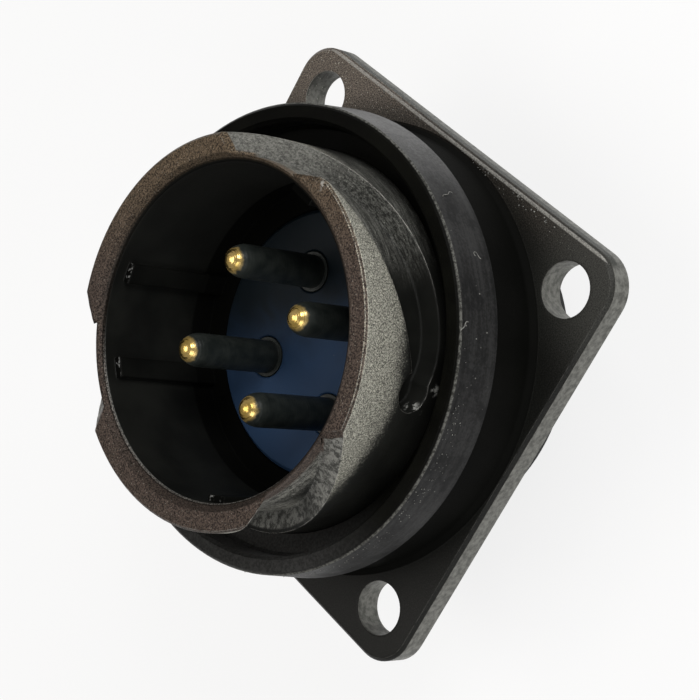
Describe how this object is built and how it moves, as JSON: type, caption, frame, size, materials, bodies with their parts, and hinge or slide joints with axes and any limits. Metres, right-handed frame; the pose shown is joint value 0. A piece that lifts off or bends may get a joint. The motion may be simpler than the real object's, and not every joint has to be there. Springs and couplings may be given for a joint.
{
  "type": "bayonet panel receptacle",
  "caption": "Square-flange panel receptacle of a round power connector, with curved bayonet grooves, a rubber seal ring and bullet-nosed pins in a keyed insulator.",
  "frame": {"origin": "centre of the four flange holes, on the flange's panel face", "axes": "+Z along the connector axis towards the mating mouth; X and Y parallel to the flange sides, with the wider key near +X"},
  "size_m": [0.035, 0.035, 0.0289],
  "materials": {
    "cast_shell": "matte, grainy casting with a dull brown-grey finish",
    "seal_rubber": "matte, dusty",
    "blue_plastic": "satin moulding",
    "black_plastic": "satin moulding",
    "o_ring_rubber": "smooth",
    "spring_steel": "cold rolled",
    "gold_contact": "turned, gold plated"
  },
  "bodies": {
    "root": {"shell": "cast_shell", "seal_ring": "seal_rubber", "front_insulator": "blue_plastic", "rear_insulator": "black_plastic", "insulator_o_ring": "o_ring_rubber", "retaining_ring": "spring_steel", "contact_1": "gold_contact", "contact_2": "gold_contact", "contact_3": "gold_contact", "contact_4": "gold_contact"}
  },
  "joints": []
}
